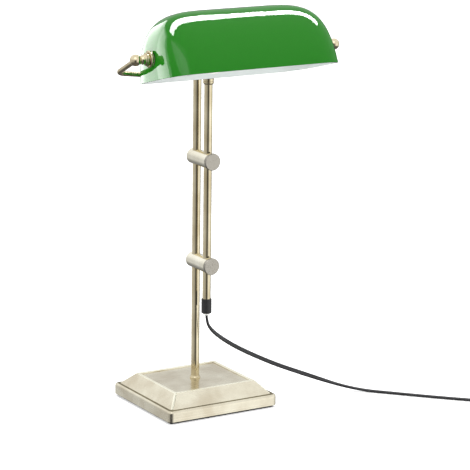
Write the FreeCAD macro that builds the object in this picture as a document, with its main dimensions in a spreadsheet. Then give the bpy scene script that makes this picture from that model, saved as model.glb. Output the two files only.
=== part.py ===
"""Banker desk lamp: a stepped metal base, a fixed post, a sliding column clamped beside it by two
crossbars, and a yoke on the column that carries a tilting cased-glass shade.

Millimetres. +Z is up, X runs along the shade, and -Y is the shade's side. The origin is at the centre
of the base's underside, on the surface that the lamp stands on.
"""
import FreeCAD, Part
import math
import os
import re
import Sketcher

SIZES = {
    # base
    "base_width": 150.0, "base_depth": 140.0, "pad_thick": 3.0, "pad_inset": 4.0,
    "tier_top": 16.4, "ledge": 5.5, "rim_top": 30.9, "plate_width": 111.5, "plate_depth": 96.3,
    "rim_width": 4.5, "recess": 1.2, "base_wall": 1.6, "corner_round": 6.0, "tier_round": 3.5,
    "ballast_width": 84.0, "ballast_depth": 74.0, "ballast_thick": 16.0,
    # the two rods
    "rod_radius": 5.0, "rod_bore": 4.0, "rod_spacing": 25.75, "running_gap": 0.05,
    "post_low": 4.0, "post_top": 403.5, "column_low": 121.0, "collar_low": 395.4, "collar_top": 402.4,
    # crossbars and clamp knobs
    "bar_radius": 9.4, "bar_reach": 8.0, "bar_tail": 10.0, "bar_upper": 304.0, "bar_lower": 177.0,
    "knob_radius": 10.25, "knob_thick": 3.6, "knob_gap": 0.8, "stud_radius": 2.5, "screw_radius": 2.0,
    # cable cap under the column
    "cap_radius": 6.15, "cap_low": 117.5, "cap_high": 135.3, "cord_radius": 2.65,
    # yoke
    "hub_radius": 6.7, "hub_low": 402.7, "hub_top": 419.0, "arm_radius": 3.0, "arm_bore": 2.2,
    "arm_level": 409.5, "ball_radius": 6.7, "knee_out": 86.0, "knee_forward": 38.5,
    "knee_level": 414.5, "corner_forward": 46.5, "corner_level": 421.5, "arm_bend": 11.0,
    "wire_gap": 0.5,
    # shade pivots
    "pivot_reach": 132.5, "pivot_forward": 89.6, "pivot_level": 442.3, "tilt": 14.4,
    "neck_end": 12.2, "flange_start": 12.4, "flange_end": 18.4, "washer_end": 19.6, "wall_ease": 1.7,
    "nipple_radius": 4.0, "nipple_bore": 2.8,
    # glass
    "glass_length": 225.6, "glass_depth": 114.0, "glass_height": 75.3, "pivot_rise": 24.5,
    "pivot_offset": 0.8, "green_thick": 2.0, "white_thick": 1.4, "glass_hole": 4.5,
    # lampholder and bulb, measured inwards from the left pivot ball
    "holder_start": 29.5, "holder_radius": 19.0, "globe_radius": 22.5,
    # coil of put-away lead, and the plug on its end
    "coil_x": 351.5, "coil_y": -169.0, "coil_radius": 30.0, "coil_half": 8.0, "coil_tall": 10.6,
    "plug_width": 35.0, "plug_thick": 13.7, "plug_long": 36.0, "pin_radius": 2.0, "pin_long": 19.0,
    "pin_spacing": 18.6, "tie_wide": 5.0, "tie_thick": 0.8, "tie_gap": 0.4, "tail_long": 41.0,
}

# The glass is a superellipse in plan at every height; these exponents shape the plan and the taper.
PLAN_LONG = 8.4
PLAN_DEEP = 3.6
END_TAPER = (3.42, 5.77)
SIDE_TAPER = (1.2, 2.0)
GLASS_SHARES = (0.0, 0.16, 0.32, 0.48, 0.63, 0.76, 0.87, 0.945, 0.985, 0.998)
POINTS_AROUND_GLASS = 40

# The plug's sections: distance from the lead, half width and half thickness, as shares of its full size.
PLUG_SECTIONS = ((0.0, 0.26, 0.58), (0.25, 0.43, 0.82), (0.47, 0.80, 0.93), (0.75, 1.0, 1.0),
                 (1.0, 0.97, 0.94))
POINTS_AROUND_PLUG = 28

# The lead hangs from the cap, comes down beyond the base and lies along the floor to its coil.
CORD_ROUTE = [
    (0.0, -25.75, 119.0), (0.2, -25.75, 105.5), (8.5, -26.0, 93.5), (24.0, -27.0, 81.0),
    (44.0, -28.5, 68.0), (68.0, -31.0, 55.0), (96.0, -33.0, 41.0), (124.0, -36.5, 29.0),
    (152.0, -43.0, 17.5), (178.0, -53.0, 7.5), (203.0, -70.0, 2.65), (222.0, -90.0, 2.65),
    (245.0, -115.0, 2.65), (269.0, -140.0, 2.65), (297.0, -168.0, 2.65), (329.0, -196.0, 2.65),
]

doc = FreeCAD.newDocument("desk_lamp")
sheet = doc.addObject("Spreadsheet::Sheet", "Sizes")
for row, (word, value) in enumerate(SIZES.items(), start=1):
    sheet.set(f"A{row}", word)
    sheet.set(f"B{row}", str(value))
    sheet.setAlias(f"B{row}", word)
doc.recompute()

SUBPARTS = []


def bound(text):
    """An expression over the sheet's words, written as the document needs it."""
    return re.sub(r"[a-z][a-z_]*", r"Sizes.\g<0>", text)


def value_of(text):
    """An expression over the sheet's words, as a number."""
    return float(sheet.evalExpression(bound(text)))


def values_of(*texts):
    return [value_of(text) for text in texts]


def keep(thing, label):
    """Registers a finished sub-part under its node name."""
    thing.Label = label
    SUBPARTS.append(thing)
    return thing


def place(thing, x="0", y="0", z="0", turn=None):
    """Puts a sub-part at sheet-bound coordinates; turn is its constant rotation."""
    thing.Placement = FreeCAD.Placement(FreeCAD.Vector(), turn or FreeCAD.Rotation())
    for letter, text in zip("xyz", (x, y, z)):
        thing.setExpression(f"Placement.Base.{letter}", bound(text))
    return thing


TO_PLUS_X = FreeCAD.Rotation(FreeCAD.Vector(0, 1, 0), 90)
TO_MINUS_X = FreeCAD.Rotation(FreeCAD.Vector(0, 1, 0), -90)
TO_PLUS_Y = FreeCAD.Rotation(FreeCAD.Vector(1, 0, 0), -90)


def origin_plane(body, role):
    return next(part for part in body.Origin.OriginFeatures if part.Role == role)


def new_sketch(body, role, height="0"):
    sketch = body.newObject("Sketcher::SketchObject", body.Name + "_sketch")
    sketch.AttachmentSupport = [(origin_plane(body, role), "")]
    sketch.MapMode = "FlatFace"
    sketch.setExpression("AttachmentOffset.Base.z", bound(height))
    return sketch


def hold(sketch, kind, index, text):
    """Holds the start of line index at a sheet-bound distance from the origin, or on the axis at 0."""
    if text == "0":
        axis = -2 if kind == "DistanceX" else -1
        sketch.addConstraint(Sketcher.Constraint("PointOnObject", index, 1, axis))
        return
    number = sketch.addConstraint(Sketcher.Constraint(kind, -1, 1, index, 1, value_of(text)))
    sketch.setExpression(f"Constraints[{number}]", bound(text))


def closed_outline(sketch, corners):
    """A closed polygon whose corners are (across, up) expressions."""
    spots = [FreeCAD.Vector(value_of(a), value_of(b), 0) for a, b in corners]
    count = len(spots)
    for i in range(count):
        sketch.addGeometry(Part.LineSegment(spots[i], spots[(i + 1) % count]), False)
    for i in range(count):
        sketch.addConstraint(Sketcher.Constraint("Coincident", i, 2, (i + 1) % count, 1))
    for i, (a, b) in enumerate(corners):
        hold(sketch, "DistanceX", i, a)
        hold(sketch, "DistanceY", i, b)


def turned(label, corners, register=True):
    """A body turned about its own Z from a half profile of (radius, height) expressions."""
    body = doc.addObject("PartDesign::Body", label)
    sketch = new_sketch(body, "XZ_Plane")
    closed_outline(sketch, corners)
    feature = body.newObject("PartDesign::Revolution", label + "_turn")
    feature.Profile = sketch
    feature.ReferenceAxis = (sketch, ["V_Axis"])
    feature.Angle = 360
    doc.recompute()
    if register:
        keep(body, label)
    return body


def cylinder(name, radius, height):
    thing = doc.addObject("Part::Cylinder", name)
    thing.setExpression("Radius", bound(radius))
    thing.setExpression("Height", bound(height))
    return thing


def cut(label, base, tools):
    """base with every tool taken away."""
    for number, tool in enumerate(tools):
        result = doc.addObject("Part::Cut", f"{label}_cut_{number}")
        result.Base = base
        result.Tool = tool
        base = result
    return keep(base, label)


def rectangle(body, width, depth, height):
    """A sketch of a rectangle centred on the body's Z axis."""
    sketch = new_sketch(body, "XY_Plane", height)
    x, y = value_of(width) / 2, value_of(depth) / 2
    spots = [FreeCAD.Vector(a, b, 0) for a, b in ((-x, -y), (x, -y), (x, y), (-x, y))]
    for i in range(4):
        sketch.addGeometry(Part.LineSegment(spots[i], spots[(i + 1) % 4]), False)
    for i in range(4):
        sketch.addConstraint(Sketcher.Constraint("Coincident", i, 2, (i + 1) % 4, 1))
    for i in range(4):
        sketch.addConstraint(Sketcher.Constraint("Vertical" if i % 2 else "Horizontal", i))
    sketch.addConstraint(Sketcher.Constraint("Symmetric", 0, 1, 2, 1, -1, 1))
    across = sketch.addConstraint(Sketcher.Constraint("DistanceX", 0, 1, 0, 2, 2 * x))
    along = sketch.addConstraint(Sketcher.Constraint("DistanceY", 1, 1, 1, 2, 2 * y))
    sketch.setExpression(f"Constraints[{across}]", bound(width))
    sketch.setExpression(f"Constraints[{along}]", bound(depth))
    return sketch


def pad(body, sketch, length):
    feature = body.newObject("PartDesign::Pad", body.Name + "_pad")
    feature.Profile = sketch
    feature.setExpression("Length", bound(length))
    doc.recompute()
    return feature


def pocket(body, sketch, depth, upwards=False):
    feature = body.newObject("PartDesign::Pocket", body.Name + "_pocket")
    feature.Profile = sketch
    feature.setExpression("Length", bound(depth))
    feature.Reversed = upwards
    before = body.Shape.Volume
    doc.recompute()
    if not body.Shape.Volume < before - 1:
        raise RuntimeError(f"{body.Name}: the pocket took nothing away")
    return feature


def loft(body, kind, lower, upper):
    feature = body.newObject(f"PartDesign::{kind}", body.Name + "_loft")
    feature.Profile = lower
    feature.Sections = [upper]
    doc.recompute()
    return feature


def round_edges(body, radius, wanted):
    """Fillets the edges of the body's tip that wanted(edge) picks."""
    tip = body.Tip
    names = [f"Edge{i}" for i, edge in enumerate(tip.Shape.Edges, start=1) if wanted(edge)]
    feature = body.newObject("PartDesign::Fillet", body.Name + "_fillet")
    feature.Base = (tip, names)
    feature.setExpression("Radius", bound(radius))
    doc.recompute()
    return feature


def near(a, b):
    return abs(a - b) < 0.01


def base_shell():
    """Two-tier hollow base: rounded lower tier, sloped upper tier, and a plate let into a raised rim."""
    body = doc.addObject("PartDesign::Body", "base_form")
    pad(body, rectangle(body, "base_width", "base_depth", "pad_thick"), "tier_top - pad_thick")
    foot = rectangle(body, "base_width - 2 * ledge", "base_depth - 2 * ledge", "tier_top")
    top = rectangle(body, "plate_width", "plate_depth", "rim_top")
    loft(body, "AdditiveLoft", foot, top)
    tier, rim = value_of("tier_top"), value_of("rim_top")
    reach = value_of("base_width / 2") - 0.01

    def corner_of_tier(edge):
        box = edge.BoundBox
        return box.ZLength > 5 and box.XLength < 0.01 and box.XMax > reach or (
            box.ZLength > 5 and box.XLength < 0.01 and box.XMin < -reach)

    def top_of_tier(edge):
        box = edge.BoundBox
        outside = max(box.XMax, -box.XMin) > reach - value_of("corner_round")
        return near(box.ZMin, tier) and near(box.ZMax, tier) and outside and (
            max(abs(box.XMin), abs(box.XMax)) > reach or
            max(abs(box.YMin), abs(box.YMax)) > value_of("base_depth / 2") - 0.01)

    def hip_of_slope(edge):
        box = edge.BoundBox
        return near(box.ZMin, tier) and near(box.ZMax, rim)

    round_edges(body, "corner_round", corner_of_tier)
    round_edges(body, "tier_round", top_of_tier)
    round_edges(body, "corner_round - 2", hip_of_slope)
    plate = rectangle(body, "plate_width - 2 * rim_width", "plate_depth - 2 * rim_width", "rim_top")
    pocket(body, plate, "recess")

    def edge_of_rim(edge):
        box = edge.BoundBox
        return near(box.ZMin, rim) and near(box.ZMax, rim)

    round_edges(body, "recess - 0.1", edge_of_rim)
    hollow = rectangle(body, "base_width - 2 * base_wall", "base_depth - 2 * base_wall", "pad_thick")
    pocket(body, hollow, "tier_top - tier_round - pad_thick", upwards=True)
    low = rectangle(body, "base_width - 2 * ledge - 2 * base_wall",
                    "base_depth - 2 * ledge - 2 * base_wall", "tier_top - tier_round")
    pocket(body, low, "tier_round - base_wall", upwards=True)
    inside = "- 2 * rim_width - 2 * base_wall"
    shoulder = rectangle(body, "base_width - 2 * ledge - 8 * base_wall",
                         "base_depth - 2 * ledge - 8 * base_wall", "tier_top - base_wall")
    crown = rectangle(body, "plate_width " + inside, "plate_depth " + inside,
                      "rim_top - recess - base_wall")
    loft(body, "SubtractiveLoft", shoulder, crown)
    hole = cylinder("post_hole", "rod_radius + running_gap", "rim_top")
    return cut("base_shell", body, [hole])


def base_pad():
    body = doc.addObject("PartDesign::Body", "base_pad")
    pad(body, rectangle(body, "base_width - 2 * pad_inset", "base_depth - 2 * pad_inset", "0"),
        "pad_thick")
    keep(body, "base_pad")


def base_ballast():
    """Cast slab under the plate, with a hole for the post."""
    body = doc.addObject("PartDesign::Body", "ballast_slab")
    underside = "rim_top - recess - base_wall"
    slab = rectangle(body, "ballast_width", "ballast_depth", underside + " - ballast_thick")
    pad(body, slab, "ballast_thick")
    hole = cylinder("ballast_hole", "rod_radius + running_gap", "rim_top")
    cut("base_ballast", body, [hole])


def ring(label, inner, outer, thick, z):
    body = turned(label, [(inner, "0"), (outer, "0"), (outer, thick), (inner, thick)])
    return place(body, z=z)


def hexagon_nut(label, flats, bore, thick):
    """A hexagon with a round bore, standing on its own XY plane."""
    nut = doc.addObject("Part::Prism", label + "_hexagon")
    nut.Polygon = 6
    nut.setExpression("Circumradius", bound(f"({flats}) / 1.7320508"))
    nut.setExpression("Height", bound(thick))
    hole = cylinder(label + "_bore", bore, thick)
    result = doc.addObject("Part::Cut", label)
    result.Base = nut
    result.Tool = hole
    return keep(result, label)


def post():
    """Tube fixed upright in the middle of the base, with what holds it there."""
    turned("post_tube", [("rod_bore", "post_low"), ("rod_radius", "post_low"),
                         ("rod_radius", "post_top"), ("rod_bore", "post_top")])
    plate = "rim_top - recess"
    place(turned("post_foot_collar", [
        ("rod_radius + running_gap", "0"), ("rod_radius + 1.3", "0"), ("rod_radius + 1.3", "1.2"),
        ("rod_radius + 0.7", "1.9"), ("rod_radius + 0.7", "2.6"), ("rod_radius + 0.3", "3.4"),
        ("rod_radius + running_gap", "3.4")]), z=plate)
    under = plate + " - base_wall - ballast_thick"
    ring("post_washer", "rod_radius + running_gap", "rod_radius + 5", "1.2", under + " - 1.2")
    place(hexagon_nut("post_nut", "16", "rod_radius + running_gap", "4"), z=under + " - 5.2")
    place(turned("post_top_cap", [
        ("0", "0"), ("rod_radius", "0"), ("rod_radius", "0.8"), ("rod_radius - 0.8", "1.8"),
        ("0", "2.2")]), z="post_top")


def crossbar(label, level):
    """Round bar across both rods, clamped on the column from its front end and pinned to the post."""
    length = "rod_spacing + bar_reach + bar_tail"
    blank = turned(label + "_blank", [
        ("0", "0"), ("bar_radius - 0.5", "0"), ("bar_radius", "0.5"),
        ("bar_radius", f"{length} - 1.6"), ("bar_radius - 1.6", length), ("0", length)],
        register=False)
    place(blank, y="-rod_spacing - bar_reach", z=level, turn=TO_PLUS_Y)
    tools = []
    for name, y in (("column", "-rod_spacing"), ("post", "0")):
        hole = cylinder(f"{label}_{name}_hole", "rod_radius + running_gap", "2 * bar_radius + 2")
        tools.append(place(hole, y=y, z=level + " - bar_radius - 1"))
    stud = cylinder(label + "_stud_hole", "stud_radius + running_gap", "bar_reach")
    tools.append(place(stud, y="-rod_spacing - bar_reach", z=level, turn=TO_PLUS_Y))
    screw = cylinder(label + "_screw_hole", "screw_radius + running_gap", "bar_tail")
    tools.append(place(screw, z=level, turn=TO_PLUS_Y))
    cut(label, blank, tools)


def clamp_knob(label, level):
    """Thumb screw: a thin round head, a neck that keeps a gap to the bar, and the stud."""
    stud = "knob_thick + knob_gap"
    reach = "bar_reach - rod_radius - running_gap"
    knob = turned(label, [
        ("0", "0"), ("knob_radius - 0.6", "0"), ("knob_radius", "0.6"),
        ("knob_radius", "knob_thick - 0.5"), ("knob_radius - 0.5", "knob_thick"),
        ("stud_radius + 3", "knob_thick"), ("stud_radius + 3", stud), ("stud_radius", stud),
        ("stud_radius", f"{stud} + {reach}"), ("0", f"{stud} + {reach}")])
    place(knob, y="-rod_spacing - bar_reach - knob_gap - knob_thick", z=level, turn=TO_PLUS_Y)


def crossbar_screws():
    """The two set screws that hold the crossbars on the post, with hexagon sockets."""
    screws = []
    for number, level in enumerate(("bar_upper", "bar_lower")):
        blank = cylinder(f"screw_blank_{number}", "screw_radius", "bar_tail - rod_radius - 0.5")
        place(blank, y="rod_radius + 0.1", z=level, turn=TO_PLUS_Y)
        socket = doc.addObject("Part::Prism", f"screw_socket_{number}")
        socket.Polygon = 6
        socket.Circumradius = 1.1
        socket.setExpression("Height", bound("bar_tail"))
        place(socket, y="rod_radius + 1.2", z=level, turn=TO_PLUS_Y)
        screw = doc.addObject("Part::Cut", f"screw_{number}")
        screw.Base = blank
        screw.Tool = socket
        screws.append(screw)
    both = doc.addObject("Part::Compound", "crossbar_screws")
    both.Links = screws
    keep(both, "crossbar_screws")


def column():
    """Tube that slides in the crossbars, with its collar, swivel spindle and cable cap."""
    place(turned("column_tube", [
        ("rod_bore", "column_low"), ("rod_radius", "column_low"), ("rod_radius", "collar_low + 3"),
        ("rod_bore", "collar_low + 3")]), y="-rod_spacing")
    rise = "collar_top - collar_low"
    place(turned("column_collar", [
        ("rod_radius + running_gap", "0"), ("rod_radius + 0.6", "0"), ("rod_radius + 1.5", "1.6"),
        ("rod_radius + 1.5", "3.2"), ("rod_radius + 0.9", "3.5"), ("rod_radius + 0.9", "3.9"),
        ("rod_radius + 1.5", "4.2"), ("rod_radius + 1.5", rise),
        ("nipple_radius + running_gap", rise), ("nipple_radius + running_gap", "3.2"),
        ("rod_radius + running_gap", "3.2")]), y="-rod_spacing", z="collar_low")
    place(turned("swivel_spindle", [
        ("nipple_bore", "0"), ("rod_bore - running_gap", "0"),
        ("rod_bore - running_gap", "11"), ("nipple_bore", "11")]),
        y="-rod_spacing", z="collar_low - 8")
    place(turned("swivel_stem", [
        ("nipple_bore", "0"), ("nipple_radius", "0"), ("nipple_radius", "10.5"),
        ("nipple_bore", "10.5")]), y="-rod_spacing", z="collar_low + 3.2")
    ring_at = "hub_low + 3.1"
    place(turned("swivel_nut", [
        ("nipple_radius + running_gap", "0"), ("hub_radius - 1.3", "0"),
        ("hub_radius - 1.3", "2.4"), ("nipple_radius + running_gap", "2.4")]),
        y="-rod_spacing", z=ring_at)
    place(turned("cable_cap", [
        ("cord_radius + 1.2", "0"), ("cap_radius - 0.6", "0"), ("cap_radius", "0.6"),
        ("cap_radius", "cap_high - cap_low - 0.4"), ("cap_radius - 0.4", "cap_high - cap_low"),
        ("rod_radius + running_gap", "cap_high - cap_low"),
        ("rod_radius + running_gap", "column_low - cap_low - 0.1"),
        ("cord_radius + 1.2", "column_low - cap_low - 0.1")]), y="-rod_spacing", z="cap_low")
    place(turned("cord_bushing", [
        ("cord_radius + 0.1", "0"), ("cord_radius + 0.9", "0"), ("cord_radius + 1.15", "0.4"),
        ("cord_radius + 1.15", "4.4"), ("cord_radius + 0.1", "4.4")]),
        y="-rod_spacing", z="cap_low - 2.2")
    wires = cylinder("column_wires", "nipple_bore - 0.6", "arm_level - 3.5 - column_low")
    keep(place(wires, y="-rod_spacing", z="column_low + 0.5"), "column_wires")


def route_wire(points, largest=1000.0):
    """Straight runs joined by tangent arcs, as large as their two runs allow and never over largest."""
    spots = [FreeCAD.Vector(*point) for point in points]
    edges = []
    radii = []
    start = spots[0]
    for i in range(1, len(spots) - 1):
        back = (spots[i - 1] - spots[i])
        ahead = (spots[i + 1] - spots[i])
        turn = math.pi - back.getAngle(ahead)
        trim = min(0.45 * min(back.Length, ahead.Length), largest * math.tan(turn / 2))
        radii.append(trim / math.tan(turn / 2))
        enter = spots[i] + back.normalize() * trim
        leave = spots[i] + ahead.normalize() * trim
        middle = (enter + leave) * 0.5
        inward = (middle - spots[i]).normalize()
        apex = spots[i] + inward * (radii[-1] / math.cos(turn / 2) - radii[-1])
        edges.append(Part.LineSegment(start, enter).toShape())
        edges.append(Part.Arc(enter, apex, leave).toShape())
        start = leave
    edges.append(Part.LineSegment(start, spots[-1]).toShape())
    return Part.Wire(edges), radii


def tube_along(points, radius, largest=1000.0):
    """Solid round tube along a route, and the route's length and radii."""
    wire, radii = route_wire(points, largest)
    first = FreeCAD.Vector(*points[0])
    heading = FreeCAD.Vector(*points[1]) - first
    disc = Part.Wire(Part.makeCircle(radius, first, heading))
    solid = wire.makePipeShell([disc], True, False)
    share = solid.Volume / (math.pi * radius ** 2 * wire.Length)
    if abs(share - 1) > 0.01:
        raise RuntimeError(f"a tube holds {share:.3f} of its section times its length")
    return solid, wire.Length, radii


def shaped(label, shape, placement=None):
    """A sub-part whose shape is worked out in code."""
    thing = doc.addObject("Part::Feature", label)
    thing.Shape = shape
    if placement:
        thing.Placement = placement
    return keep(thing, label)


def arm_route(side):
    """Out from the hub, round the corner, then forwards and up to the pivot ball."""
    reach, forward, level = values_of("pivot_reach", "-pivot_forward", "pivot_level")
    ball = FreeCAD.Vector(side * reach, forward, level)
    corner = FreeCAD.Vector(side * reach, *values_of("-corner_forward", "corner_level"))
    knee_out, knee_y, knee_z = values_of("knee_out", "-knee_forward", "knee_level")
    knee = FreeCAD.Vector(side * knee_out, knee_y, knee_z)
    hub = FreeCAD.Vector(0, *values_of("-rod_spacing", "arm_level"))
    start = hub + (knee - hub).normalize() * value_of("hub_radius - 1.1")
    end = ball + (corner - ball).normalize() * value_of("ball_radius - 3.1")
    return [tuple(spot) for spot in (start, knee, corner, end)]


def yoke():
    """Hub on the column's swivel, two hollow arms, and the balls at the shade's pivots."""
    hub = turned("hub_blank", [
        ("nipple_radius + running_gap", "0"), ("hub_radius - 0.8", "0"), ("hub_radius", "0.8"),
        ("hub_radius", "hub_top - hub_low"), ("hub_radius - 1", "hub_top - hub_low"),
        ("hub_radius - 1", "3"), ("nipple_radius + running_gap", "3")], register=False)
    place(hub, y="-rod_spacing", z="hub_low")
    doc.recompute()
    hub_shape = hub.Shape.copy()
    centre = FreeCAD.Vector(0, *values_of("-rod_spacing", "arm_level"))
    radius, bore_radius, socket_radius, bend = values_of(
        "arm_radius", "arm_bore", "arm_radius + running_gap", "arm_bend")
    for side, name in ((-1, "left"), (1, "right")):
        route = arm_route(side)
        outer = tube_along(route, radius, bend)[0]
        bore = tube_along(route, bore_radius, bend)[0]
        shaped(name + "_arm", outer.cut(bore))
        out = FreeCAD.Vector(*route[1]) - FreeCAD.Vector(*route[0])
        hub_shape = hub_shape.cut(Part.makeCylinder(socket_radius, 12, centre, out))
    shaped("yoke_hub", hub_shape)
    shaped("arm_wires", tube_along(arm_route(-1), value_of("arm_bore - wire_gap"), bend)[0])
    place(turned("hub_cap", [
        ("0", "0"), ("hub_radius", "0"), ("hub_radius", "1"), ("hub_radius - 1.6", "3"),
        ("2.2", "4"), ("2.8", "6"), ("2", "7.8"), ("0", "8.4")]), y="-rod_spacing", z="hub_top")


def pivot_ball(label, side):
    """Ball with a necked spigot towards the glass, bored for the pivot nipple and for the arm."""
    blank = turned(label + "_blank", [
        ("0", "0"), ("5.2", "4.2"), ("4.3", "5.6"), ("4.6", "6.6"), ("5.4", "8"),
        ("5.4", "neck_end - 1.6"), ("6.4", "neck_end - 0.6"), ("6.4", "neck_end"),
        ("0", "neck_end")], register=False)
    turn = TO_PLUS_X if side < 0 else TO_MINUS_X
    reach, forward, level = values_of("pivot_reach", "-pivot_forward", "pivot_level")
    spot = FreeCAD.Vector(side * reach, forward, level)
    neck = blank.Shape.copy()
    neck.Placement = FreeCAD.Placement(spot, turn)
    body = neck.fuse(Part.makeSphere(value_of("ball_radius"), spot))
    inward = FreeCAD.Vector(-side, 0, 0)
    bore = Part.makeCylinder(*values_of("nipple_radius + running_gap", "neck_end"),
                             spot + inward * 5, inward)
    way = Part.makeCylinder(value_of("nipple_bore"), 5.5, spot, inward)
    route = arm_route(side)
    towards = (FreeCAD.Vector(*route[-2]) - FreeCAD.Vector(*route[-1])).normalize()
    socket = Part.makeCylinder(value_of("arm_radius + running_gap"), 12,
                               FreeCAD.Vector(*route[-1]) - towards * 0.05, towards)
    channel = Part.makeCylinder(value_of("arm_bore"), 8, spot, towards)
    for tool in (bore, way, socket, channel):
        body = body.cut(tool)
    shaped(label, body)


def profile_sizes(length, depth, share):
    """Half length and half depth of the glass at that share of its height."""
    half_length = length / 2 * (1 - share ** END_TAPER[0]) ** (1 / END_TAPER[1])
    half_depth = depth / 2 * (1 - share ** SIDE_TAPER[0]) ** (1 / SIDE_TAPER[1])
    return half_length, half_depth


def closed_curve(spots):
    curve = Part.BSplineCurve()
    curve.interpolate(spots, PeriodicFlag=True)
    return Part.Wire(curve.toShape())


def power(value, exponent):
    """value to a power, keeping its sign."""
    return math.copysign(abs(value) ** exponent, value)


def glass_form(inset):
    """Solid of the shade's outer form, drawn in by inset all round and on top; rim at local z 0."""
    length = value_of("glass_length") - 2 * inset
    depth = value_of("glass_depth") - 2 * inset
    height = value_of("glass_height") - inset
    wires = []
    for share in GLASS_SHARES:
        half_length, half_depth = profile_sizes(length, depth, share)
        spots = []
        for i in range(POINTS_AROUND_GLASS):
            angle = 2 * math.pi * (i + 0.5) / POINTS_AROUND_GLASS
            x = half_length * power(math.cos(angle), 2 / PLAN_LONG)
            y = half_depth * power(math.sin(angle), 2 / PLAN_DEEP)
            spots.append(FreeCAD.Vector(x, y, share * height))
        wires.append(closed_curve(spots))
    return Part.makeLoft(wires, True, False)


def glass():
    """Cased glass: a green outer layer and a white lining, bored at both ends for the pivots."""
    placement = FreeCAD.Placement(
        FreeCAD.Vector(0, *values_of("-pivot_forward", "pivot_level")),
        FreeCAD.Rotation(FreeCAD.Vector(1, 0, 0), value_of("-tilt")))
    drop = FreeCAD.Vector(0, *values_of("-pivot_offset", "-pivot_rise"))
    forms = [glass_form(inset) for inset in values_of("0", "green_thick", "green_thick + white_thick")]
    for form in forms:
        form.translate(drop)
    hole = Part.makeCylinder(*values_of("glass_hole", "glass_length + 20"),
                             FreeCAD.Vector(value_of("-glass_length / 2 - 10"), 0, 0),
                             FreeCAD.Vector(1, 0, 0))
    for label, outer, inner in (("shade_green_glass", 0, 1), ("shade_white_lining", 1, 2)):
        shaped(label, forms[outer].cut(forms[inner]).cut(hole), placement)


def at_pivot(thing, side, distance):
    """Places a turned piece on the pivot axis, that far inwards from the ball's centre."""
    turn = TO_PLUS_X if side < 0 else TO_MINUS_X
    sign = "-1" if side < 0 else "1"
    return place(thing, x=f"{sign} * (pivot_reach - ({distance}))", y="-pivot_forward",
                 z="pivot_level", turn=turn)


def pivots():
    """What grips the glass at each end: flange and washer outside, washer and nut inside."""
    bore = "nipple_radius + running_gap"
    for side, name in ((-1, "left"), (1, "right")):
        pivot_ball(name + "_pivot_ball", side)
        at_pivot(turned(name + "_flange", [
            (bore, "0"), ("6.8", "0"), ("7.4", "0.6"), ("7.4", "1.8"), ("6", "2.2"), ("6", "3"),
            ("8.6", "3.2"), ("9.8", "4.2"), ("9.8", "5.4"), ("9.2", "6"), (bore, "6")]),
            side, "flange_start")
        at_pivot(turned(name + "_outer_washer", [
            (bore, "0"), ("8.6", "0"), ("8.6", "washer_end - flange_end - 0.05"),
            (bore, "washer_end - flange_end - 0.05")]), side, "flange_end")
        wall = "washer_end + green_thick + white_thick + wall_ease"
        at_pivot(turned(name + "_inner_washer", [
            (bore, "0"), ("8.6", "0"), ("8.6", "1"), (bore, "1")]), side, wall)
        nut = hexagon_nut(name + "_inner_nut", "14", bore, "3.4")
        at_pivot(nut, side, wall + " + 1.1")
        reach = "30" if side < 0 else "25.5"
        at_pivot(turned(name + "_nipple", [
            ("nipple_bore", "0"), ("nipple_radius", "0"), ("nipple_radius", reach),
            ("nipple_bore", reach)]), side, "5.2")


def light():
    """Lampholder on the left nipple, and the bulb screwed into it."""
    radius = "holder_radius"
    at_pivot(turned("lampholder_cap", [
        ("nipple_radius + running_gap", "0"), ("8", "0"), ("8", "3"), ("12", "5"),
        ("holder_radius - 1", "12"), (radius, "14"), (radius, "19"), ("holder_radius - 2.2", "19"),
        ("holder_radius - 2.2", "14.5"), ("10", "7"), ("nipple_radius + running_gap", "6")]),
        -1, "holder_start")
    at_pivot(turned("lampholder_shell", [
        ("5", "0"), (radius, "0"), (radius, "27"), ("holder_radius + 1.2", "27.6"),
        ("holder_radius + 1.2", "30"), ("15", "30"), ("15", "3"), ("5", "3")]),
        -1, "holder_start + 19.1")
    at_pivot(turned("bulb_cap", [
        ("0", "0"), ("4.5", "0"), ("6.5", "1.5"), ("13", "6"), ("13.2", "26"), ("0", "26")]),
        -1, "holder_start + 22.5")
    neck = turned("bulb_neck", [
        ("0", "0"), ("13", "0"), ("16", "5"), ("18", "9"), ("0", "9")], register=False)
    at_pivot(neck, -1, "holder_start + 48.6")
    globe = doc.addObject("Part::Sphere", "bulb_globe_ball")
    globe.setExpression("Radius", bound("globe_radius"))
    at_pivot(globe, -1, "holder_start + 48.6 + globe_radius")
    both = doc.addObject("Part::Fuse", "bulb_globe")
    both.Base = neck
    both.Tool = globe
    keep(both, "bulb_globe")


def lead():
    """The supply lead: the hanging run, its put-away coil, and a tail from the coil to the plug."""
    radius = value_of("cord_radius")
    run, length, radii = tube_along(CORD_ROUTE, radius)
    print("lead radii", [round(r, 1) for r in radii], "run", round(length, 1))
    shaped("cord_lead", run)
    place(turned("cord_coil", [
        ("coil_radius - coil_half", "0"), ("coil_radius + coil_half", "0"),
        ("coil_radius + coil_half", "coil_tall"), ("coil_radius - coil_half", "coil_tall")]),
        x="coil_x", y="coil_y")
    start_x, start_y, level, long = values_of(
        "coil_x + coil_radius", "coil_y", "plug_thick / 2 + 0.4", "tail_long")
    tail = [(start_x, start_y, level), (start_x + 0.5, start_y + 0.34 * long, level),
            (start_x - 1, start_y + 0.66 * long, level), (start_x - 2, start_y + long, level)]
    tail_run, tail_length, tail_radii = tube_along(tail, radius)
    print("tail radii", [round(r, 1) for r in tail_radii], "run", round(tail_length, 1))
    shaped("cord_tail", tail_run)
    plug(start_x - 2, start_y + long - 0.3, level)


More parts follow.
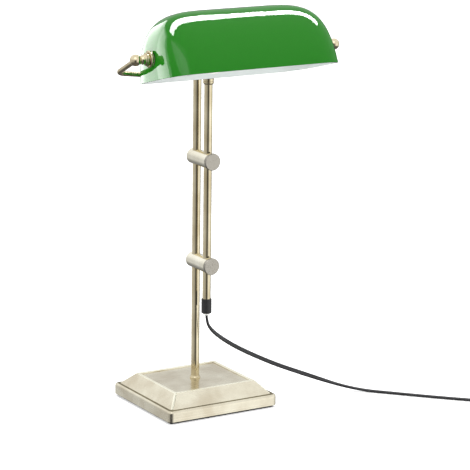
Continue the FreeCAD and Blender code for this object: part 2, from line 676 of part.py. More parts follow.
def coil_tie():
    """A flat band round one side of the coil."""
    frame = doc.addObject("Part::Box", "tie_outside")
    hollow = doc.addObject("Part::Box", "tie_inside")
    for box, gap, spare in ((frame, "tie_gap + tie_thick", "0"), (hollow, "tie_gap", "2")):
        box.setExpression("Length", bound(f"tie_wide + {spare}"))
        box.setExpression("Width", bound(f"2 * (coil_half + {gap})"))
        box.setExpression("Height", bound(f"coil_tall + {gap}"))
        place(box, x=f"coil_x - (tie_wide + {spare}) / 2",
              y=f"coil_y + coil_radius - coil_half - ({gap})")
    cut("coil_tie", frame, [hollow])


def plug(x, y, z):
    """Flat two-pin plug: a waisted moulded body pointing along +Y, and its two round pins."""
    width, thick, long = values_of("plug_width", "plug_thick", "plug_long")
    wires = []
    for forward, wide, high in PLUG_SECTIONS:
        spots = []
        for i in range(POINTS_AROUND_PLUG):
            angle = 2 * math.pi * (i + 0.5) / POINTS_AROUND_PLUG
            spots.append(FreeCAD.Vector(
                x + width / 2 * wide * power(math.cos(angle), 0.55), y + long * forward,
                z + thick / 2 * high * power(math.sin(angle), 0.7)))
        wires.append(closed_curve(spots))
    shaped("plug_body", Part.makeLoft(wires, True, False))
    radius, pin_long, spacing = values_of("pin_radius", "pin_long", "pin_spacing")
    forward = FreeCAD.Vector(0, 1, 0)
    pins = []
    for side in (-1, 1):
        foot = FreeCAD.Vector(x + side * spacing / 2, y + long, z)
        shank = Part.makeCylinder(radius, pin_long - 1, foot, forward)
        tip = Part.makeCone(radius, radius - 0.7, 1, foot + forward * (pin_long - 1), forward)
        pins.append(shank.fuse(tip).removeSplitter())
    shaped("plug_pins", Part.makeCompound(pins))


def check_document():
    """Stops if any object failed to recompute or any sub-part has no valid shape."""
    for thing in doc.Objects:
        if {"Invalid", "Error"} & set(thing.State):
            raise RuntimeError(f"{thing.Name} failed: {thing.State}")
    for thing in SUBPARTS:
        if thing.Shape.isNull() or not thing.Shape.isValid():
            raise RuntimeError(f"{thing.Label} has no valid shape")
        print(thing.Label, len(thing.Shape.Solids), "solid(s)", round(thing.Shape.Volume, 1))


doc.recompute()
base_shell()
base_pad()
base_ballast()
post()
for level in ("upper", "lower"):
    crossbar(level + "_crossbar", "bar_" + level)
    clamp_knob(level + "_clamp_knob", "bar_" + level)
crossbar_screws()
column()
yoke()
glass()
pivots()
light()
lead()
coil_tie()
doc.recompute()
check_document()

os.makedirs("parts", exist_ok=True)
for thing in SUBPARTS:
    thing.Shape.exportStep(os.path.join("parts", thing.Label + ".step"))
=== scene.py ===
"""Looks of the banker desk lamp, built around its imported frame.

Metres. +Z is up, X runs along the shade, and -Y is the shade's side. Places come from the frame. A
few small sizes repeat those of the CAD part, and so does the lead's route, but for its height where
the flat flex lies on the floor.
"""
import math

import bmesh
import bpy
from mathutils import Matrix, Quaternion, Vector


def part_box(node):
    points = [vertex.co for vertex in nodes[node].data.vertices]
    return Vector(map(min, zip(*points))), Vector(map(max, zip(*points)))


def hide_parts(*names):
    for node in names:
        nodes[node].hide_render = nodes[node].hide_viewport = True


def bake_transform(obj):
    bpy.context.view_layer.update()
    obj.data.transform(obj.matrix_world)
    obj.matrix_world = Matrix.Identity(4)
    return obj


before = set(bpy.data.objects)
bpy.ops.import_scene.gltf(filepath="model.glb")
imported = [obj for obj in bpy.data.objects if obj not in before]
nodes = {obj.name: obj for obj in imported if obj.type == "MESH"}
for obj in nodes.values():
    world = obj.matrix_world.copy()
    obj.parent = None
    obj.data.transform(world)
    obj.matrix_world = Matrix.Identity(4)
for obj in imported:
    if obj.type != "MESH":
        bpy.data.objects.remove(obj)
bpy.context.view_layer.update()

scene = bpy.context.scene

# ---------------------------------------------------------------- camera

VIEW_AZIMUTH = math.radians(-31.29)
VIEW_ELEVATION = math.radians(13.45)
VIEW_ROLL = math.radians(0.69)
VIEW_DISTANCE = 2.7902
VIEW_TARGET = (0.04657, 0.20862)    # to the right of the origin, and above the floor
LENS = 178.13                       # millimetres, as is the sensor
SENSOR_WIDTH = 36
NEAREST_SEEN = 0.1
FARTHEST_SEEN = 100


def make_camera():
    data = bpy.data.cameras.new("camera")
    data.lens = LENS
    data.sensor_width = SENSOR_WIDTH
    data.clip_start = NEAREST_SEEN
    data.clip_end = FARTHEST_SEEN
    camera = bpy.data.objects.new("camera", data)
    scene.collection.objects.link(camera)
    right = Vector((math.cos(VIEW_AZIMUTH), math.sin(VIEW_AZIMUTH), 0))
    back = Vector((math.sin(VIEW_AZIMUTH) * math.cos(VIEW_ELEVATION),
                   -math.cos(VIEW_AZIMUTH) * math.cos(VIEW_ELEVATION), math.sin(VIEW_ELEVATION)))
    camera.rotation_mode = "QUATERNION"
    camera.rotation_quaternion = back.to_track_quat("Z", "Y") @ Quaternion((0, 0, 1), VIEW_ROLL)
    camera.location = right * VIEW_TARGET[0] + Vector((0, 0, VIEW_TARGET[1])) + back * VIEW_DISTANCE
    scene.camera = camera


# ---------------------------------------------------------------- lead

FLEX_WIDTH = 0.0053
FLEX_THICK = 0.0032
LYING = FLEX_THICK / 2 + 0.0001     # height of the flex's middle where it lies flat on the floor
LEAD_ROUTE = [
    (0.0, -0.02575, 0.119), (0.0002, -0.02575, 0.1055), (0.0085, -0.026, 0.0935),
    (0.024, -0.027, 0.081), (0.044, -0.0285, 0.068), (0.068, -0.031, 0.0550),
    (0.096, -0.033, 0.041), (0.124, -0.0365, 0.029), (0.152, -0.043, 0.0175),
    (0.178, -0.053, 0.0075), (0.203, -0.070, LYING), (0.222, -0.090, LYING),
    (0.245, -0.115, LYING), (0.269, -0.140, LYING), (0.297, -0.168, LYING),
]
COIL_POINTS_PER_TURN = 16
COIL_EDGE = 0.008                   # from the middle of the coil's turns to its outer edge
COIL_ARRIVAL = math.radians(230.2)  # where the lead meets the coil, round from +X
LAYER = FLEX_THICK + 0.0001
TURN_RADII = (1, 0, -1, -1, 0, 1, 1, 0)     # each turn's place across the coil, in flex widths
TURN_LAYERS = (0, 0, 0, 1, 1, 1, 2, 2)
CROSS_OVER = 0.7    # the share of a turn after which the flex moves across to the next turn's place
TAIL_START = 0.014                  # past the coil's middle, in +Y
TAIL_LAYER = 1.9                    # the layer of the coil that it leaves from
PLUG_ENTRY = 0.001                  # how far the tail goes into the plug
PLUG_APPROACH = (0.001, -0.013)     # from the tail's end back to its last bend

SECTION_POINTS = 36
SECTION_ROUNDING = (0.8, 0.75)      # powers that square the outline off, across and up
GROOVE_DEPTH = 0.34                 # as a share of the flex's half thickness
GROOVE_REACH = 0.00055
TURN_TO_BROADSIDE = (0.01, 0.08)    # distances along the lead between which it twists
TURN_TO_FLAT = (0.15, 0.24)


def smooth(share):
    share = min(1.0, max(0.0, share))
    return share * share * (3 - 2 * share)


def coil_points(centre, radius, start_angle, end_angle):
    """Turns that lie beside and on each other, from where the lead arrives to where its tail leaves."""
    sweep = (len(TURN_RADII) - 1) * 2 * math.pi + (end_angle - start_angle) % (2 * math.pi)
    count = round(sweep / (2 * math.pi) * COIL_POINTS_PER_TURN)
    points = []
    for i in range(count + 1):
        turns = sweep / (2 * math.pi) * i / count
        here = min(int(turns), len(TURN_RADII) - 1)
        after = min(here + 1, len(TURN_RADII) - 1)
        share = smooth((turns - here - CROSS_OVER) / (1 - CROSS_OVER))
        across = TURN_RADII[here] + (TURN_RADII[after] - TURN_RADII[here]) * share
        layer = TURN_LAYERS[here] + (TURN_LAYERS[after] - TURN_LAYERS[here]) * share
        angle = start_angle + turns * 2 * math.pi
        reach = radius + across * FLEX_WIDTH
        points.append((centre.x + reach * math.cos(angle), centre.y + reach * math.sin(angle),
                       LYING + layer * LAYER))
    return points


def lead_route():
    """Control points of the whole lead: the seen run, the put-away coil, and the tail to the plug."""
    low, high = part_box("cord_coil")
    centre = (low + high) / 2
    radius = (high.x - low.x) / 2 - COIL_EDGE
    coil = coil_points(centre, radius, COIL_ARRIVAL, 0.0)
    plug_low, plug_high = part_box("plug_body")
    end = Vector(((plug_low.x + plug_high.x) / 2, plug_low.y + PLUG_ENTRY,
                  (plug_low.z + plug_high.z) / 2))
    tail = [(centre.x + radius, centre.y + TAIL_START, LYING + TAIL_LAYER * LAYER),
            (end.x + PLUG_APPROACH[0], end.y + PLUG_APPROACH[1], end.z), tuple(end)]
    return LEAD_ROUTE + coil + tail


def spline_through(points):
    """The smooth NURBS line that has these control points, as a list of close points."""
    data = bpy.data.curves.new("route", "CURVE")
    data.dimensions = "3D"
    spline = data.splines.new("NURBS")
    spline.points.add(len(points) - 1)
    for spot, point in zip(spline.points, points):
        spot.co = (*point, 1)
    spline.order_u = 3
    spline.use_endpoint_u = True
    spline.resolution_u = 8
    carrier = bpy.data.objects.new("route", data)
    scene.collection.objects.link(carrier)
    bpy.context.view_layer.update()
    line = bpy.data.meshes.new_from_object(carrier)
    path = [vertex.co.copy() for vertex in line.vertices]
    bpy.data.objects.remove(carrier)
    bpy.data.meshes.remove(line)
    bpy.data.curves.remove(data)
    return path


def squared_off(value, power):
    return math.copysign(abs(value) ** power, value)


def flex_section():
    """Outline of a flat twin flex: two round cores with a shallow groove along each face."""
    outline = []
    for i in range(SECTION_POINTS):
        angle = 2 * math.pi * i / SECTION_POINTS
        across = FLEX_WIDTH / 2 * squared_off(math.cos(angle), SECTION_ROUNDING[0])
        groove = 1 - GROOVE_DEPTH * math.exp(-(across / GROOVE_REACH) ** 2)
        up = FLEX_THICK / 2 * squared_off(math.sin(angle), SECTION_ROUNDING[1]) * groove
        outline.append((across, up))
    return outline


def twisted(travelled, start, end):
    """How much of a twist is done at that distance along the lead."""
    return smooth((travelled - start) / (end - start))


def flex_mesh(path):
    """Sweeps the flex along path. It shows its edge where it hangs and its flat face where it lies."""
    edge_on = Vector((0.85, -0.52, 0.0))
    broadside = Vector((-0.1, -1.0, 0.25)).normalized()
    flat = Vector((0, 0, 1))
    bm = bmesh.new()
    outline = flex_section()
    rings = []
    travelled = 0.0
    for i, point in enumerate(path):
        if i:
            travelled += (point - path[i - 1]).length
        ahead = (path[min(i + 1, len(path) - 1)] - path[max(i - 1, 0)]).normalized()
        face = edge_on.lerp(broadside, twisted(travelled, *TURN_TO_BROADSIDE))
        face = face.lerp(flat, twisted(travelled, *TURN_TO_FLAT))
        face = (face - ahead * face.dot(ahead)).normalized()
        side = ahead.cross(face).normalized()
        rings.append([bm.verts.new(point + side * a + face * u) for a, u in outline])
    for lower, upper in zip(rings, rings[1:]):
        for k in range(len(outline)):
            j = (k + 1) % len(outline)
            bm.faces.new((lower[k], lower[j], upper[j], upper[k]))
    bm.faces.new(list(reversed(rings[0])))
    bm.faces.new(rings[-1])
    bmesh.ops.recalc_face_normals(bm, faces=bm.faces)
    return finish_mesh(bm, "supply_flex")


def finish_mesh(bm, name):
    """An object of that mesh in the scene, smooth but for its end faces."""
    mesh = bpy.data.meshes.new(name)
    bm.to_mesh(mesh)
    bm.free()
    for polygon in mesh.polygons:
        polygon.use_smooth = len(polygon.vertices) <= 4
    piece = bpy.data.objects.new(name, mesh)
    scene.collection.objects.link(piece)
    return piece


def make_lead():
    path = spline_through(lead_route())
    flex = flex_mesh(path)
    length = sum((b - a).length for a, b in zip(path, path[1:]))
    print("lead length", round(length, 3))
    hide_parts("cord_lead", "cord_coil", "cord_tail")
    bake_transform(flex)
    return flex


# ---------------------------------------------------------------- node helpers

NOISE_SPREAD = (0.35, 0.65)     # the values that a noise texture mostly stays between


def new_material(name, colour, metallic=0.0, roughness=0.5):
    """A material, its node tree, and its shader with the constant sockets set."""
    made = bpy.data.materials.new(name)
    made.use_nodes = True
    tree = made.node_tree
    shader = tree.nodes["Principled BSDF"]
    shader.inputs["Base Color"].default_value = (*colour, 1)
    shader.inputs["Metallic"].default_value = metallic
    shader.inputs["Roughness"].default_value = roughness
    return made, tree, shader


def object_place(tree):
    return tree.nodes.new("ShaderNodeTexCoord").outputs["Object"]


def split(tree, vector):
    """The X, Y and Z sockets of a vector."""
    apart = tree.nodes.new("ShaderNodeSeparateXYZ")
    tree.links.new(vector, apart.inputs["Vector"])
    return apart.outputs


def angle_of(tree, up, across):
    """The angle from the across axis towards the up axis, from -pi to pi."""
    angle = tree.nodes.new("ShaderNodeMath")
    angle.operation = "ARCTAN2"
    tree.links.new(up, angle.inputs[0])
    tree.links.new(across, angle.inputs[1])
    return angle.outputs["Value"]


def share_between(tree, value, low, high):
    """How far a value is on the way from low to high, from 0 to 1."""
    spread = tree.nodes.new("ShaderNodeMapRange")
    spread.inputs["From Min"].default_value = low
    spread.inputs["From Max"].default_value = high
    tree.links.new(value, spread.inputs["Value"])
    return spread.outputs["Result"]


def object_noise(tree, stretch, detail):
    """Noise in the row frame's metres, as fine along each axis as the stretch there is large."""
    mapping = tree.nodes.new("ShaderNodeMapping")
    mapping.inputs["Scale"].default_value = stretch
    noise = tree.nodes.new("ShaderNodeTexNoise")
    noise.inputs["Scale"].default_value = 1.0
    noise.inputs["Detail"].default_value = detail
    tree.links.new(object_place(tree), mapping.inputs["Vector"])
    tree.links.new(mapping.outputs["Vector"], noise.inputs["Vector"])
    return noise.outputs["Fac"]


def range_to(tree, value, socket, low, high):
    """Drives a socket from low to high by a noise."""
    spread = tree.nodes.new("ShaderNodeMapRange")
    spread.inputs["From Min"].default_value = NOISE_SPREAD[0]
    spread.inputs["From Max"].default_value = NOISE_SPREAD[1]
    spread.inputs["To Min"].default_value = low
    spread.inputs["To Max"].default_value = high
    tree.links.new(value, spread.inputs["Value"])
    tree.links.new(spread.outputs["Result"], socket)


def colour_between(tree, value, socket, dark, light, source=NOISE_SPREAD):
    """Drives a colour socket from dark to light, as the value goes through the source range."""
    ramp = tree.nodes.new("ShaderNodeValToRGB")
    for stop, position, colour in zip(ramp.color_ramp.elements, source, (dark, light)):
        stop.position = position
        stop.color = (*colour, 1)
    tree.links.new(value, ramp.inputs["Fac"])
    tree.links.new(ramp.outputs["Color"], socket)


def bump(tree, value, shader, distance, strength=1.0):
    node = tree.nodes.new("ShaderNodeBump")
    node.inputs["Distance"].default_value = distance
    node.inputs["Strength"].default_value = strength
    tree.links.new(value, node.inputs["Height"])
    tree.links.new(node.outputs["Normal"], shader.inputs["Normal"])


# ---------------------------------------------------------------- materials

BRASS_DARK = (0.58, 0.49, 0.31)
BRASS_LIGHT = (0.78, 0.70, 0.50)
PALE_BRASS_DARK = (0.62, 0.56, 0.43)
PALE_BRASS_LIGHT = (0.78, 0.74, 0.60)
KNOB_DARK = (0.30, 0.28, 0.24)
KNOB_LIGHT = (0.50, 0.475, 0.42)
# Painted light: the cased green, shaded at the bottom and lit at the top.
GREEN_SHADED = (0.010, 0.160, 0.006)
GREEN_LIT = (0.022, 0.212, 0.014)

# How fine a metal's noise is along each axis. It draws lines along the axis with the smallest number.
EVEN = (500, 500, 500)
# For the painted highlights on the base's edges.
EDGE_HIGHLIGHT_NOISE = (300, 300, 300)
BASE_LINES = (3, 700, 700)
ROD_LINES = (900, 900, 6)
BAR_LINES = (900, 6, 900)
ZINC_LINES = (600, 600, 40)
NICKEL_LINES = (600, 40, 600)

# Depths of lines and grains, in metres.
FINE = 0.00001
BRUSHED = 0.00002
GRAINED = 0.00004
TURNED = 0.00006
COARSE = 0.0003


def brushed(name, dark, light, stretch, roughness, depth=FINE):
    """Brushed plated metal: fine parallel lines, and slow changes of tone from the plating."""
    made, tree, shader = new_material(name, light, metallic=1.0)
    lines = object_noise(tree, stretch, 6)
    tone = object_noise(tree, (30, 30, 30), 3)
    range_to(tree, lines, shader.inputs["Roughness"], *roughness)
    colour_between(tree, tone, shader.inputs["Base Color"], dark, light)
    bump(tree, lines, shader, depth)
    return made


def radially_brushed(name, dark, light, centre, roughness):
    """Metal turned on a lathe about a Y axis: fine lines that fan out from the centre."""
    made, tree, shader = new_material(name, light, metallic=1.0)
    offset = tree.nodes.new("ShaderNodeVectorMath")
    offset.operation = "SUBTRACT"
    offset.inputs[1].default_value = centre
    tree.links.new(object_place(tree), offset.inputs[0])
    apart = split(tree, offset.outputs["Vector"])
    noise = tree.nodes.new("ShaderNodeTexNoise")
    noise.noise_dimensions = "1D"
    noise.inputs["Scale"].default_value = 26
    noise.inputs["Detail"].default_value = 8
    tree.links.new(angle_of(tree, apart["Z"], apart["X"]), noise.inputs["W"])
    lines = noise.outputs["Fac"]
    range_to(tree, lines, shader.inputs["Roughness"], *roughness)
    colour_between(tree, lines, shader.inputs["Base Color"], dark, light)
    bump(tree, lines, shader, TURNED)
    return made


def cased_green():
    """Green layer over white: a deep gloss, with painted light: paler towards the top of the glass,
    darker towards its rim.
    """
    made, tree, shader = new_material("cased_green", GREEN_LIT, roughness=0.03)
    shader.inputs["IOR"].default_value = 1.5
    shader.inputs["Specular IOR Level"].default_value = 0.15
    shader.inputs["Subsurface Weight"].default_value = 0.15
    shader.inputs["Subsurface Radius"].default_value = (0.001, 0.004, 0.001)
    low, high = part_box("shade_green_glass")
    height = share_between(tree, split(tree, object_place(tree))["Z"], low.z, high.z)
    # Painted light and shade: the green goes from shaded at the bottom to lit at the top.
    colour_between(tree, height, shader.inputs["Base Color"], GREEN_SHADED, GREEN_LIT, (0.1, 1.0))
    bump(tree, object_noise(tree, (12, 12, 12), 1), shader, 0.0004, 0.35)
    return made


def opal(name, colour, glow):
    """Milky glass with faint clouds in it."""
    made, tree, shader = new_material(name, colour, roughness=0.12)
    shader.inputs["Subsurface Weight"].default_value = glow
    shader.inputs["Subsurface Radius"].default_value = (0.004, 0.004, 0.004)
    cloud = object_noise(tree, (40, 40, 40), 3)
    paler = tuple(min(1.0, part * 1.04) for part in colour)
    colour_between(tree, cloud, shader.inputs["Base Color"], colour, paler)
    bump(tree, cloud, shader, 0.0002, 0.3)
    return made


def moulded(name, dark, light, roughness, grain=1800.0, depth=GRAINED):
    """Moulded plastic, rubber or fibre with a fine grain."""
    made, tree, shader = new_material(name, light)
    fine = object_noise(tree, (grain, grain, grain), 2)
    broad = object_noise(tree, (60, 60, 60), 3)
    colour_between(tree, broad, shader.inputs["Base Color"], dark, light)
    range_to(tree, fine, shader.inputs["Roughness"], *roughness)
    bump(tree, fine, shader, depth)
    return made


def metals():
    return {
        "base_brass": brushed("base_brass", PALE_BRASS_DARK, PALE_BRASS_LIGHT, BASE_LINES, (0.16, 0.28),
                              BRUSHED),
        "rod_brass": brushed("rod_brass", BRASS_DARK, BRASS_LIGHT, ROD_LINES, (0.08, 0.16)),
        "bar_brass": brushed("bar_brass", (0.78, 0.74, 0.60), (0.92, 0.89, 0.77), BAR_LINES, (0.10, 0.18),
                             BRUSHED),
        "turned_brass": brushed("turned_brass", BRASS_DARK, BRASS_LIGHT, EVEN, (0.09, 0.17)),
        # Painted shade: a dark brass for the gaps behind the clamp knobs.
        "gap_shade": brushed("gap_shade_brass", (0.07, 0.06, 0.04), (0.13, 0.115, 0.08), EVEN, (0.5, 0.65)),
        # Painted reflection: a dark brass for the base's ledge.
        "ledge_reflection": brushed("ledge_reflection_brass", (0.16, 0.135, 0.075), (0.26, 0.225, 0.13), EVEN, (0.4, 0.5)),
        # Painted highlight: a pale, bright brass for the base's top rim and corner edges.
        "edge_highlight_brass": brushed("edge_highlight_brass", (0.86, 0.83, 0.68), (0.96, 0.94, 0.80), EDGE_HIGHLIGHT_NOISE, (0.36, 0.46)),
        "zinc": brushed("zinc", (0.42, 0.42, 0.40), (0.62, 0.62, 0.60), ZINC_LINES, (0.25, 0.38)),
        "nickel": brushed("nickel", (0.52, 0.51, 0.48), (0.74, 0.73, 0.69), NICKEL_LINES, (0.12, 0.22)),
        "iron": moulded("cast_iron", (0.07, 0.07, 0.07), (0.16, 0.155, 0.15), (0.6, 0.75), 700, COARSE),
    }


def glass_and_plastics():
    return {
        "green": cased_green(),
        "rim_green": moulded("rim_green", (0.006, 0.05, 0.005), (0.012, 0.09, 0.010), (0.3, 0.4)),
        "white": opal("white_lining", (0.60, 0.64, 0.625), 0.1),
        "bulb": opal("opal_bulb", (0.9, 0.89, 0.85), 0.4),
        "black": moulded("black_plastic", (0.010, 0.010, 0.011), (0.02, 0.02, 0.022), (0.38, 0.5)),
        "flex": moulded("flex_black", (0.009, 0.009, 0.01), (0.018, 0.018, 0.02), (0.14, 0.22), 900),
        "clear": moulded("clear_plastic", (0.72, 0.72, 0.68), (0.85, 0.85, 0.82), (0.2, 0.3), 700),
        "phenolic": moulded("phenolic", (0.012, 0.010, 0.009), (0.028, 0.022, 0.018), (0.18, 0.28)),
        "foam": moulded("foam_pad", (0.012, 0.012, 0.012), (0.035, 0.034, 0.033), (0.85, 0.95), 1100,
                        COARSE),
        "fibre": moulded("fibre", (0.14, 0.115, 0.09), (0.26, 0.22, 0.18), (0.7, 0.85), 900, 0.0001),
        "insulation": moulded("wire_insulation", (0.30, 0.17, 0.08), (0.48, 0.29, 0.15), (0.35, 0.45)),
    }


# ---------------------------------------------------------------- which piece has which material

HEAD_THICK = 0.0031         # a clamp knob's head, up to where its back edge is eased
FRONT_CHAMFER = 0.0005      # the eased front edge of a crossbar
TIER_TOP = 0.0164           # the base's lower tier, whose narrow ledge is given a painted dark reflection
LEVEL = 0.0002              # how far from a level a face of that level may be

SURFACES = {
    "base_brass": ("base_shell",),
    "rod_brass": ("post_tube", "column_tube", "left_arm", "right_arm"),
    "bar_brass": ("upper_crossbar", "lower_crossbar"),
    "turned_brass": ("post_foot_collar", "post_top_cap", "column_collar", "yoke_hub", "hub_cap",
                     "left_pivot_ball", "right_pivot_ball", "left_flange", "right_flange"),
    "green": ("shade_green_glass",),
    "white": ("shade_white_lining",),
    "bulb": ("bulb_globe",),
    "black": ("cable_cap", "coil_tie", "plug_body"),
    "clear": ("cord_bushing",),
    "phenolic": ("lampholder_cap", "lampholder_shell"),
    "foam": ("base_pad",),
    "iron": ("base_ballast",),
    "zinc": ("post_washer", "post_nut", "crossbar_screws", "swivel_spindle", "swivel_stem", "swivel_nut",
             "left_inner_nut", "right_inner_nut", "left_nipple", "right_nipple"),
    "nickel": ("bulb_cap", "plug_pins"),
    "fibre": ("left_outer_washer", "right_outer_washer", "left_inner_washer", "right_inner_washer"),
    "insulation": ("column_wires", "arm_wires"),
}


def paint(thing, surface):
    thing.data.materials.clear()
    thing.data.materials.append(surface)


def paint_part(thing, surface, wanted):
    """Gives that surface to the faces whose middle and facing, in the row frame, are wanted."""
    thing.data.materials.append(surface)
    slot = len(thing.data.materials) - 1
    for polygon in thing.data.polygons:
        if wanted(thing.matrix_world @ polygon.center, polygon.normal):
            polygon.material_index = slot


def on_a_hip(spot, facing):
    """Whether a face of the base is on the rounded edge between two of its slopes."""
    is_above_tier = spot.z > TIER_TOP + 0.0005
    faces_a_corner = min(abs(facing.x), abs(facing.y)) > 0.12
    return is_above_tier and faces_a_corner and facing.z > 0.4


def paint_knob(name, surfaces):
    """A turned head, and painted shade on its neck in the gap behind it."""
    low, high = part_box(name)
    head_back = low.y + HEAD_THICK
    paint(nodes[name], radially_brushed(name + "_brass", KNOB_DARK, KNOB_LIGHT, (low + high) / 2,
                                        (0.22, 0.34)))
    # Painted shade on the neck behind the head.
    paint_part(nodes[name], surfaces["gap_shade"], lambda spot, facing: spot.y > head_back)


def paint_base(surfaces):
    """A painted dark reflection along the ledge, and painted highlights on the edges round the top and
    down the corners.
    """
    base = nodes["base_shell"]
    rim_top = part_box("base_shell")[1].z
    # Painted reflection: the ledge is darkened where it reflects dark surroundings.
    paint_part(base, surfaces["ledge_reflection"], lambda spot, facing: abs(spot.z - TIER_TOP) < LEVEL)
    # Painted highlights on the top rim and on the rounded corner edges.
    paint_part(base, surfaces["edge_highlight_brass"], lambda spot, facing: spot.z > rim_top - LEVEL)
    paint_part(base, surfaces["edge_highlight_brass"], on_a_hip)


def paint_bar_front(name, surfaces):
    """Painted shade on the front face, which shows in the gap behind the knob."""
    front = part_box(name)[0].y
    # Painted shade on the front face in the gap behind the knob.
    paint_part(nodes[name], surfaces["gap_shade"], lambda spot, facing: spot.y < front + FRONT_CHAMFER)


def paint_nodes(surfaces):
    for surface, names in SURFACES.items():
        for name in names:
            paint(nodes[name], surfaces[surface])
    paint_base(surfaces)
    paint_part(nodes["shade_green_glass"], surfaces["rim_green"], lambda spot, facing: facing.z < -0.9)
    for level in ("upper", "lower"):
        paint_knob(level + "_clamp_knob", surfaces)
        paint_bar_front(level + "_crossbar", surfaces)


# ---------------------------------------------------------------- floor and world

FLOOR_RADIUS = 30
FLOOR_TOP = -0.0002

# Brightness of the studio by compass direction, in degrees from +X towards +Y, near the horizon.
STUDIO = ((-180, 0.55), (-150, 0.50), (-136, 0.20), (-121, 0.04), (-106, 0.12), (-90, 0.75), (-61, 1.45),
          (-30, 1.05), (5, 0.6), (35, 0.12), (58, 0.16), (85, 0.7), (150, 0.72), (180, 0.55))
STUDIO_PEAK = 1.5
STUDIO_ABOVE = 1.1
STUDIO_BELOW = 0.14
FADE_ABOVE = (0.0, 0.45)        # sines of the elevations between which the studio turns even, above
FADE_BELOW = (-0.3, -0.6)       # and below


def make_floor():
    bm = bmesh.new()
    bmesh.ops.create_circle(bm, cap_ends=True, segments=96, radius=FLOOR_RADIUS)
    floor = finish_mesh(bm, "floor")
    floor.location.z = FLOOR_TOP
    made, tree, shader = new_material("floor_paper", (0.93, 0.93, 0.93), roughness=0.9)
    shader.inputs["Specular IOR Level"].default_value = 0.0
    grain = object_noise(tree, (90, 90, 90), 3)
    colour_between(tree, grain, shader.inputs["Base Color"], (0.925, 0.925, 0.925), (0.94, 0.94, 0.94))
    floor.data.materials.append(made)
    floor.visible_glossy = False
    return floor


def grey(level):
    """A studio brightness as a colour, as a share of the brightest."""
    return (*[level / STUDIO_PEAK] * 3, 1)


def colour_socket(sockets, name):
    """A Mix node has sockets of one name for each type; this picks the colour one."""
    return next(socket for socket in sockets if socket.name == name and socket.type == "RGBA")


def faded(tree, colour, level, share):
    """That colour, replaced by an even brightness as the share goes to 1."""
    mix = tree.nodes.new("ShaderNodeMix")
    mix.data_type = "RGBA"
    colour_socket(mix.inputs, "B").default_value = grey(level)
    tree.links.new(colour, colour_socket(mix.inputs, "A"))
    tree.links.new(share, mix.inputs["Factor"])
    return colour_socket(mix.outputs, "Result")


def studio_ramp(tree, angle):
    """The studio's brightness near the horizon, by compass direction."""
    ramp = tree.nodes.new("ShaderNodeValToRGB")
    stops = ramp.color_ramp.elements
    for _ in range(len(STUDIO) - 2):
        stops.new(0.5)
    for stop, (degrees, level) in zip(stops, STUDIO):
        stop.position = (degrees + 180) / 360
        stop.color = grey(level)
    tree.links.new(share_between(tree, angle, -math.pi, math.pi), ramp.inputs["Fac"])
    return ramp.outputs["Color"]


def make_world():
    """A studio that is bright to the lamp's right and dark behind the camera, and even from above."""
    world = bpy.data.worlds.new("studio")
    scene.world = world
    world.use_nodes = True
    tree = world.node_tree
    way = split(tree, tree.nodes.new("ShaderNodeTexCoord").outputs["Generated"])
    colour = studio_ramp(tree, angle_of(tree, way["Y"], way["X"]))
    colour = faded(tree, colour, STUDIO_ABOVE, share_between(tree, way["Z"], *FADE_ABOVE))
    colour = faded(tree, colour, STUDIO_BELOW, share_between(tree, way["Z"], *FADE_BELOW))
    background = tree.nodes["Background"]
    background.inputs["Strength"].default_value = STUDIO_PEAK
    tree.links.new(colour, background.inputs["Color"])


# ---------------------------------------------------------------- lights

STRIP_HEIGHT = 1.2      # of the overhead strips above the shade
KEY_PLACE = Vector((-0.9, -1.2, 1.7))       # from the shade
KEY_SIZE = (1.4, 1.4)
KEY_RADIANCE = 0.9
WASH_STRENGTH = 2.2
WASH_SPREAD = math.radians(60)


def only_lights(lamp, *things):
    """Limits a lamp to those objects."""
    group = bpy.data.collections.new(lamp.name + "_lights")
    for thing in things:
        group.objects.link(thing)
    lamp.light_linking.receiver_collection = group


def softbox(name, middle, towards, size, radiance):
    """A rectangular area light of that even brightness."""
    data = bpy.data.lights.new(name, "AREA")
    data.shape = "RECTANGLE"
    data.size, data.size_y = size
    data.energy = radiance * math.pi * size[0] * size[1]
    lamp = bpy.data.objects.new(name, data)
    lamp.location = middle
    lamp.rotation_mode = "QUATERNION"
    lamp.rotation_quaternion = (Vector(towards) - Vector(middle)).to_track_quat("-Z", "Y")
    scene.collection.objects.link(lamp)
    return lamp


def direction(azimuth, elevation):
    a, e = math.radians(azimuth), math.radians(elevation)
    return Vector((math.cos(e) * math.cos(a), math.cos(e) * math.sin(a), math.sin(e)))


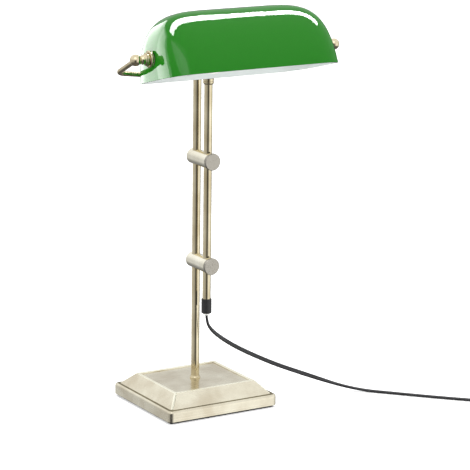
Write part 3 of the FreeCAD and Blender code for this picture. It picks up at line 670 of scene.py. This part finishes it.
def box_round(shade, name, azimuth, elevation, distance, size, radiance):
    """A softbox that faces the shade from that direction, in degrees, and distance."""
    return softbox(name, shade + direction(azimuth, elevation) * distance, shade, size, radiance)


def overhead_strip(shade, name, start, end, width, radiance):
    """A strip light that faces down from above the shade, along a line given in metres from it."""
    run = Vector(end) - Vector(start)
    middle = (Vector(start) + Vector(end)) / 2
    spot = shade + Vector((middle.x, middle.y, STRIP_HEIGHT))
    lamp = softbox(name, spot, spot - Vector((0, 0, 1)), (run.length, width), radiance)
    lamp.rotation_quaternion = Quaternion((0, 0, 1), math.atan2(run.y, run.x))
    return lamp


def light_glass(shade):
    """Lights that show as reflections in the glass and light nothing else."""
    lamps = (
        box_round(shade, "left_box", 120, 10, 1.6, (1.9, 1.9), 9.0),
        box_round(shade, "left_near_box", 142, 8, 1.6, (1.0, 2.6), 4.5),
        overhead_strip(shade, "left_strip", (-0.52, 0.04), (0.80, 0.56), 0.36, 60.0),
        overhead_strip(shade, "right_strip", (0.66, 0.58), (1.42, 0.14), 0.30, 60.0),
        box_round(shade, "front_card", -143, 40, 1.5, (1.2, 0.95), 3.0),
    )
    for lamp in lamps:
        only_lights(lamp, nodes["shade_green_glass"])
        lamp.visible_diffuse = False


def light_floor(floor):
    """An even wash without shadows."""
    wash = bpy.data.lights.new("floor_wash", "SUN")
    wash.energy = WASH_STRENGTH
    wash.angle = WASH_SPREAD
    wash.use_shadow = False
    lamp = bpy.data.objects.new("floor_wash", wash)
    scene.collection.objects.link(lamp)
    only_lights(lamp, floor)


def make_lights(floor):
    low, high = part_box("shade_green_glass")
    shade = (low + high) / 2
    light_glass(shade)
    softbox("key", shade + KEY_PLACE, shade / 2, KEY_SIZE, KEY_RADIANCE)
    light_floor(floor)


# ---------------------------------------------------------------- the scene

make_camera()
flex = make_lead()
surfaces = {**metals(), **glass_and_plastics()}
paint_nodes(surfaces)
paint(flex, surfaces["flex"])
make_world()
make_lights(make_floor())
scene.view_settings.view_transform = "Standard"
